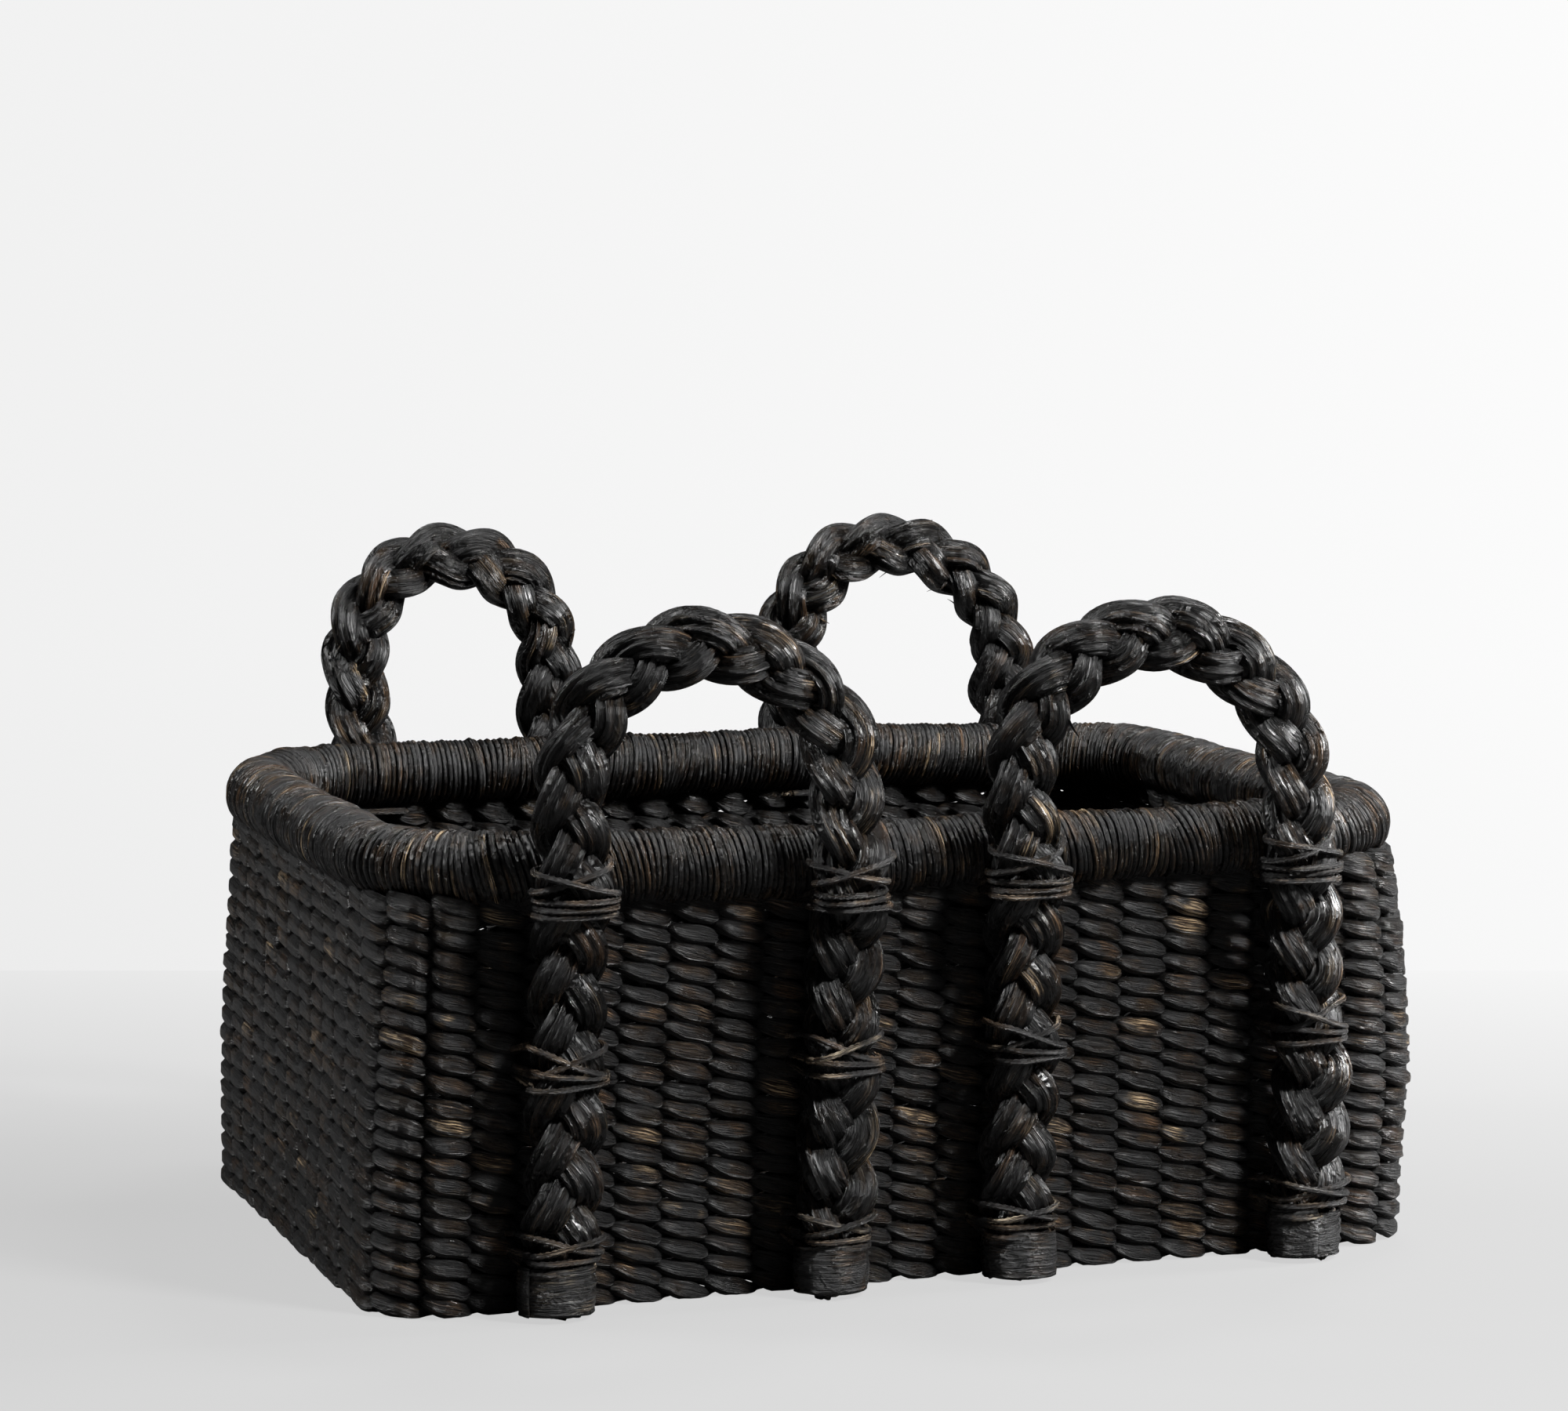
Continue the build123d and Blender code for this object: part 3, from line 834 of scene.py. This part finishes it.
def plait_strand(handle, strand):
    """One strand of a plait: a hank of folded leaves with long creases."""
    count = int(handle.length / 2.3)
    distance = np.linspace(0, handle.length, count)
    point, across = handle.frame(distance)
    girth = handle.girth(distance)
    turns = round(handle.length / plait_turn * 6) / 6
    turn = distance / handle.length * turns + handle.drift + strand / 3
    swing = plait_swing * girth * np.sin(2 * pi * turn)
    dip = -plait_dip * girth * np.sin(4 * pi * turn)
    out = np.array([0.0, handle.side, 0.0])
    middle = point + across * (swing + wander(count, 14, 0.5))[:, None]
    middle += out * (dip + wander(count, 14, 0.4))[:, None]
    ahead = np.gradient(middle, axis=0)
    ahead /= np.linalg.norm(ahead, axis=-1, keepdims=True)
    wide_way = np.cross(ahead, out)
    wide_way /= np.linalg.norm(wide_way, axis=-1, keepdims=True)
    deep_way = np.cross(wide_way, ahead)
    sides, leaves = 56, 7
    angle = round_section(sides)[None, :]
    uneven = 0.3 * np.sin(angle + chance.uniform(0, 6))
    uneven = uneven + 0.2 * np.sin(2 * angle + chance.uniform(0, 6))
    drift = distance * 0.010 + wander(count, 18, 0.3)
    fold = (angle + uneven + drift[:, None]) * leaves / (2 * pi)
    leaf = np.floor(fold).astype(int) % leaves
    part = fold - np.floor(fold)
    lap = (0.2 + 0.8 * ease(part / 0.7)) * (1 - 0.3 * ease((part - 0.8) / 0.2))
    depth = np.clip(0.3 + wander(count, 12, 0.1), 0.1, 0.5)
    shape = 0.93 + depth[:, None] * (lap - 0.6)
    crumple = np.stack([wander(count, 6, 0.055) for _ in range(14)], -1)
    crumple = np.repeat(crumple, sides // 14, axis=-1)
    shape += crumple * 0.6 + np.roll(crumple, 2, axis=1) * 0.4
    shape += 0.012 * np.where(np.arange(sides) % 2, 1, -1)
    wide = 10.0 * girth * (1 + wander(count, 12, 0.08))
    deep = 6.9 * girth * (1 + wander(count, 12, 0.07))
    c, s = np.cos(angle), np.sin(angle)
    ring_wide = np.sign(c) * np.abs(c) ** 0.85 * wide[:, None] * shape
    ring_deep = np.sign(s) * np.abs(s) ** 0.85 * deep[:, None] * shape
    rings = middle[:, None] + wide_way[:, None] * ring_wide[..., None]
    rings = rings + deep_way[:, None] * ring_deep[..., None]
    rubbed = np.stack([wander(count, 14, 0.38) for _ in range(leaves)], -1)
    shade = np.stack([wander(count, 18, 0.35) for _ in range(leaves)], -1)
    row = np.arange(count)[:, None]
    # Painted shade: each leaf darkens where it lies under the next one's edge, and the strand
    # darkens along its two narrow edges, where it passes under the other strands
    rubbed = np.clip(0.32 + rubbed[row, leaf], 0.1, 1.2) * lap ** 1.5
    rubbed = rubbed * (0.1 + 0.9 * np.abs(s) ** 0.8)
    return Hank(rings, False, rubbed, np.clip(0.45 + shade[row, leaf], 0, 1))


handles = [Handle(name) for name in ("front_left", "front_right", "back_left", "back_right")]
for handle in handles:
    handle.drift = chance.uniform(0, 1 / 3)
    handle.strands = [plait_strand(handle, n) for n in range(3)]
    for n, strand in enumerate(handle.strands):
        name = f"{handle.name}_plait_{n + 1}"
        node = f"{handle.name}_handle_strand_{n + 1}"
        make_piece(name, [strand], plaited_hyacinth, [node])


def stray_ends(hank, count, reach, thick, flat, rows):
    """Short ends that have sprung loose from a hank, bend away from it and taper."""
    ends = []
    for _ in range(count):
        row = int(len(hank.rings) * chance.uniform(*rows))
        ring = hank.rings[row]
        middle = ring.mean(axis=0)
        point = ring[chance.integers(len(ring))]
        away = (point - middle) / np.linalg.norm(point - middle)
        ahead = hank.rings[row + 6].mean(axis=0) - middle
        ahead *= chance.choice([-1, 1]) / np.linalg.norm(ahead)
        aside = chance.normal(0, 0.25, 3)
        run = np.linspace(0, 1, 9)[:, None]
        size = reach * chance.uniform(0.5, 1.3)
        path = point - 1.2 * away + size * (ahead * run + (0.5 * away + aside) * run ** 1.7)
        path[:, 2] -= 0.2 * size * run[:, 0] ** 2
        taper = thick * chance.uniform(0.7, 1.2) * (1 - 0.75 * run[:, 0] ** 2)
        ends.append(Hank(rod(path, taper, 6, flat), False, 0.45, chance.uniform(0.3, 1)))
    return ends


for handle in handles:
    ends = []
    for strand in handle.strands:
        ends += stray_ends(strand, 14, 7, 0.3, 1.0, (0.05, 0.93))
        ends += stray_ends(strand, 6, 8, 2.2, 0.15, (0.34, 0.66))
    nodes = [f"{handle.name}_handle_strand_{n}" for n in (1, 2, 3)]
    make_piece(f"{handle.name}_loose_ends", ends, plaited_hyacinth, nodes)

# ---------------------------------------------------------------- lashings


def hull(points):
    """The convex hull of points in a plane, anticlockwise."""
    points = sorted(map(tuple, points))
    halves = []
    for run in (points, points[::-1]):
        kept = []
        for p in run:
            while len(kept) > 1 and (kept[-1][0] - kept[-2][0]) * (p[1] - kept[-2][1]) <= (
                kept[-1][1] - kept[-2][1]
            ) * (p[0] - kept[-2][0]):
                kept.pop()
            kept.append(p)
        halves += kept[:-1]
    return np.array(halves)


def front_pass(cloud, leg_x, out, side, left, right):
    """Points of a twine drawn over the front of a leg, from the wall on the left to the right."""
    turn = np.linspace(pi + 0.35, -0.35, 40)
    level = left + (right - left) * ease((pi - turn) / pi)
    centre = np.array([leg_x, out])
    found = []
    for a, z in zip(turn, level):
        near = cloud[np.abs(cloud[:, 2] - z) < 3.0]
        flat = np.stack([near[:, 0], near[:, 1] * side], -1) - centre
        ahead = flat @ np.array([cos(a), sin(a)])
        beside = np.abs(flat @ np.array([-sin(a), cos(a)]))
        reach = ahead[beside < 3.5]
        found.append(reach.max() if len(reach) else 17.0)
    found = np.array(found)
    flat = centre + found[:, None] * np.stack([np.cos(turn), np.sin(turn)], -1)
    ring = hull(flat)
    away = ring - centre
    bearing = np.arctan2(away[:, 1], away[:, 0])
    order = np.argsort(bearing)
    bearing, away = bearing[order], away[order]
    result = []
    for a, z in zip(turn, level):
        wrapped = (a + pi) % (2 * pi) - pi
        x = np.interp(wrapped, bearing, away[:, 0], period=2 * pi)
        y = np.interp(wrapped, bearing, away[:, 1], period=2 * pi)
        far = np.hypot(x, y)
        grow = (far + twine_radius * 0.75) / far
        result.append((leg_x + x * grow, side * (out + y * grow), z))
    return result


def lashing_path(handle, leg_x, word, level):
    """The whole run of twine: passes over the leg, through the wall and along its inner face."""
    cloud = np.concatenate([s.rings.reshape(-1, 3) for s in handle.strands])
    cloud = cloud[(np.abs(cloud[:, 0] - leg_x) < 45) & (np.abs(cloud[:, 2] - level) < 40)]
    passes = {
        "top": [(17, 4), (4, 22), (0.5, 1.0), (-3.4, -2.6), (-7.0, -7.4)],
        "middle": [(11, -5), (-4, 10), (-3, -6.5), (-11, -9.5)],
        "low": [(8, -2), (-3, 7), (-6.0, -5.0), (-12, -11)],
    }[word]
    path = []
    for number, (left, right) in enumerate(passes):
        left, right = left + chance.uniform(-1, 1), right + chance.uniform(-1, 1)
        near_level = np.interp(level, [0, 230], [handle.leg_out, handle.leg_out + 2])
        arc = front_pass(cloud, leg_x, near_level, handle.side, level + left, level + right)
        hole_left = min(level + np.clip(left, -6, 5) * 0.8, wall_top - 2.5)
        hole_right = min(level + np.clip(right, -6, 5) * 0.8, wall_top - 2.5)
        wall_out, wall_in = half_wide + 5, half_wide - 9.5
        aside = 25  # from the leg's middle to the holes through the wall
        path.append((leg_x - aside, handle.side * wall_in, hole_left))
        path.append((leg_x - (aside + 0.2), handle.side * wall_out, hole_left))
        path += arc
        path.append((leg_x + (aside + 0.2), handle.side * wall_out, hole_right))
        path.append((leg_x + aside, handle.side * wall_in, hole_right))
        for share in (0.25, 0.5, 0.75):
            sag = 1.2 * sin(pi * share)
            z = min(hole_right + (level - hole_right) * share - 1.5 + number, wall_top - 1)
            path.append((leg_x + aside - 2 * aside * share, handle.side * (wall_in - sag), z))
    return np.array(path)


def even_out(path, spacing, smooth=2):
    """The path rounded and resampled at an even spacing."""
    for _ in range(smooth):
        path = np.concatenate([path[:1], (path[:-2] + 2 * path[1:-1] + path[2:]) / 4, path[-1:]])
    run = np.concatenate([[0], np.cumsum(np.linalg.norm(np.diff(path, axis=0), axis=-1))])
    at = np.linspace(0, run[-1], max(int(run[-1] / spacing), 2))
    return np.stack([np.interp(at, run, path[:, n]) for n in range(3)], -1), at


def twisted(path, radius, lay, sides=10):
    """Rings of two plies laid together: a section with two lobes that turns as it goes."""
    path, at = even_out(path, 1.15)
    rings = rod(path, 1.0, sides)
    away = rings - path[:, None]
    angle = round_section(sides)[None, :] - (2 * pi * at / lay)[:, None]
    lobes = radius * (1.08 - 0.3 * np.sin(angle) ** 2)
    return path[:, None] + away * lobes[..., None]


for handle in handles:
    for leg_word, leg_x in (("left", handle.left), ("right", handle.right)):
        for word, level in zip(("low", "middle", "top"), lashing_levels):
            path = lashing_path(handle, leg_x, word, level)
            rings = twisted(path, twine_radius, 7.5)
            count = len(rings)
            rubbed = np.clip(0.5 + wander(count, 30, 0.45), 0.15, 1.5)
            shade = np.clip(0.5 + wander(count, 50, 0.3), 0, 1)
            node = f"{handle.name}_handle_{leg_word}_leg_{word}_lashing"
            make_piece(
                f"{handle.name}_{leg_word}_{word}_twine",
                [Hank(rings, False, rubbed, shade)],
                dyed_twine,
                [node],
            )

# ---------------------------------------------------------------- leaf bindings


def leaf_binding(leg_name):
    """A broad leaf wound round the end of a leg, one lap over the other, cut flat at the foot."""
    low, high = packed(leg_name)
    centre = (low + high) / 2
    half = (high - low) / 2
    laps = 2.7
    count = 150
    angle = np.linspace(0, laps * 2 * pi, count) + chance.uniform(0, 2 * pi)
    lap = np.linspace(0, 1, count)
    grow = 0.88 + 0.09 * lap + wander(count, 9, 0.014)
    c, s = np.cos(angle), np.sin(angle)
    way = np.stack([c * half[0], s * half[1]], -1)
    way *= grow[:, None]
    sides = 22
    up = np.concatenate([np.linspace(0, 1, 15), np.linspace(1, 0, 9)[1:-1]])
    skin = np.concatenate([np.full(15, 0.55), np.full(7, -0.55)])
    pucker = np.stack([wander(count, 12, 0.35) for _ in range(15)] + [np.zeros(count)] * 7, -1)
    bottom = low[2] + np.abs(wander(count, 9, 0.7))
    top = high[2] + wander(count, 11, 1.0) - 3.0 * (1 - lap)
    outward = way / np.linalg.norm(way, axis=-1, keepdims=True)
    height = bottom[:, None] + (top - bottom)[:, None] * up
    bulge = 0.9 * np.sin(pi * up) + skin + pucker
    rings = np.empty((count, sides, 3))
    rings[..., :2] = centre[:2] + way[:, None] + outward[:, None] * bulge[..., None]
    rings[..., 2] = height
    edge = 0.5 + 0.9 * np.abs(up - 0.5)
    rubbed = np.clip(0.2 + wander(count, 14, 0.2), 0.05, 1)[:, None] * edge
    shade = np.clip(0.5 + wander(count, 25, 0.3), 0, 1)
    return Hank(rings, False, rubbed, shade)


for handle in handles:
    for leg_word in ("left", "right"):
        node = f"{handle.name}_handle_{leg_word}_leg_binding"
        leaf = leaf_binding(node)
        make_piece(f"{handle.name}_{leg_word}_leaf", [leaf], wrapped_leaf, [node])

# ---------------------------------------------------------------- floor, light and camera


def plain_sheet(name, corners, colours, seen, depth, tone):
    """A plain pale surface whose colour goes from one hex to another across and along it: near
    left, near right, middle left, middle right, far left and far right.  To the camera a share of
    it shows at its own colour; the rest takes the light and shadow.  It is clear from behind."""
    mesh = bpy.data.meshes.new(name)
    mesh.from_pydata([tuple(c) for c in corners], [], [(0, 1, 2, 3)])
    mesh.uv_layers.new(name="sheet").data.foreach_set("uv", [0, 0, 1, 0, 1, 1, 0, 1])
    material = bpy.data.materials.new(name)
    material.use_nodes = True
    tree = material.node_tree
    tree.nodes.clear()
    place = put(tree, "ShaderNodeUVMap", uv_map="sheet").outputs["UV"]
    split = put(tree, "ShaderNodeSeparateXYZ", {"Vector": place}).outputs
    side = put(
        tree, "ShaderNodeMapRange", {"Value": split["X"], "From Min": 0.44, "From Max": 0.56}
    ).outputs["Result"]
    left, right = (
        put(
            tree,
            "ShaderNodeValToRGB",
            {"Fac": split["Y"]},
            stops=[(at, stain(code)) for at, code in zip(depth, colours[hand::2])],
        ).outputs["Color"]
        for hand in (0, 1)
    )
    colour = put(
        tree, "ShaderNodeMix", {"Factor": side, 6: left, 7: right}, data_type="RGBA"
    ).outputs[2]
    direct = put(tree, "ShaderNodeLightPath").outputs["Is Camera Ray"]
    own_share = put(
        tree,
        "ShaderNodeMapRange",
        {
            "Value": split["Y"],
            "From Min": depth[1],
            "From Max": depth[2],
            "To Min": seen[0],
            "To Max": seen[1],
        },
    ).outputs["Result"]
    share = put(
        tree, "ShaderNodeMath", {0: direct, 1: own_share}, operation="MULTIPLY"
    ).outputs["Value"]
    lit = put(tree, "ShaderNodeBsdfDiffuse", {"Color": stain(tone)}).outputs["BSDF"]
    own = put(tree, "ShaderNodeEmission", {"Color": colour, "Strength": 1.0}).outputs["Emission"]
    mixed = put(tree, "ShaderNodeMixShader", {"Fac": share, 1: lit, 2: own}).outputs["Shader"]
    behind = put(tree, "ShaderNodeNewGeometry").outputs["Backfacing"]
    clear = put(tree, "ShaderNodeBsdfTransparent").outputs["BSDF"]
    mixed = put(tree, "ShaderNodeMixShader", {"Fac": behind, 1: mixed, 2: clear}).outputs["Shader"]
    put(tree, "ShaderNodeOutputMaterial", {"Surface": mixed})
    mesh.materials.append(material)
    sheet = bpy.data.objects.new(name, mesh)
    bpy.context.scene.collection.objects.link(sheet)


azimuth, elevation, roll, distance = radians(-19.0), radians(6.07), radians(0.0), 2.60
target = Vector((-0.0074, 0.0, 0.2962))
back = Vector((sin(azimuth) * cos(elevation), -cos(azimuth) * cos(elevation), sin(elevation)))
camera_data = bpy.data.cameras.new("camera")
camera_data.sensor_width = 36.0
camera_data.lens = 102.8
camera = bpy.data.objects.new("camera", camera_data)
turned = (-back).to_track_quat("-Z", "Y").to_matrix() @ Matrix.Rotation(roll, 3, "Z")
camera.matrix_world = Matrix.Translation(target + back * distance) @ turned.to_4x4()
bpy.context.scene.collection.objects.link(camera)
bpy.context.scene.camera = camera

level_way = Vector((-back.x, -back.y, 0)).normalized()
side_way = Vector((level_way.y, -level_way.x, 0))
behind = 0.84  # from the basket's middle to the backdrop
reach, tall, near_shade = 6, 4, 0.38
far_middle = level_way * behind
far_left, far_right = far_middle - side_way * reach, far_middle + side_way * reach
# The floor's colours paint light and shadow: lighter towards the right, where the main lamps stand,
# and darkest at the middle left as painted shadow of the basket
plain_sheet(
    "floor",
    [far_left - level_way * reach, far_right - level_way * reach, far_right, far_left],
    ("#e4e4e4", "#f1f1f1", "#dddddd", "#f3f3f3", "#efefef", "#ffffff"),
    (0.72, 0.88),
    ((reach - behind - near_shade) / reach, (reach - behind) / reach, 1.0),
    "#626262",
)
# The backdrop's colours paint the fall of light: lighter towards the right, where the main lamps
# stand, and slightly darker at its foot
plain_sheet(
    "backdrop",
    [far_left, far_right, far_right + Vector((0, 0, tall)), far_left + Vector((0, 0, tall))],
    ("#ebebeb", "#f9f9f9", "#efefef", "#fcfcfc", "#f2f2f2", "#fdfdfd"),
    (1.0, 1.0),
    (0.0, 0.06, 0.3),
    "#262626",
)


def lamp(name, place, size, power):
    """A soft square lamp aimed at the basket."""
    data = bpy.data.lights.new(name, "AREA")
    data.shape = "RECTANGLE"
    data.size, data.size_y = size
    data.energy = power
    made = bpy.data.objects.new(name, data)
    made.location = place
    made.rotation_mode = "QUATERNION"
    basket_middle = Vector((0, 0, 0.15))
    made.rotation_quaternion = (basket_middle - Vector(place)).to_track_quat("-Z", "Y")
    bpy.context.scene.collection.objects.link(made)


lamp("window", (1.4, -1.9, 2.5), (0.5, 0.5), 230)
lamp("far_window", (-2.0, 0.9, 2.1), (0.5, 0.5), 62)
lamp("side_window", (2.7, -0.3, 1.3), (0.5, 0.5), 150)
lamp("rear_window", (0.7, 0.5, 2.4), (0.5, 0.5), 60)
world = bpy.data.worlds.new("room")
world.use_nodes = True
sky = world.node_tree.nodes["Background"]
sky.inputs["Color"].default_value = stain("#f4f4f4")
seen_sky = put(world.node_tree, "ShaderNodeLightPath").outputs["Is Camera Ray"]
strength = put(
    world.node_tree, "ShaderNodeMapRange", {"Value": seen_sky, "To Min": 0.05, "To Max": 1.0}
).outputs["Result"]
world.node_tree.links.new(strength, sky.inputs["Strength"])
bpy.context.scene.world = world
bpy.context.scene.view_settings.view_transform = "Standard"
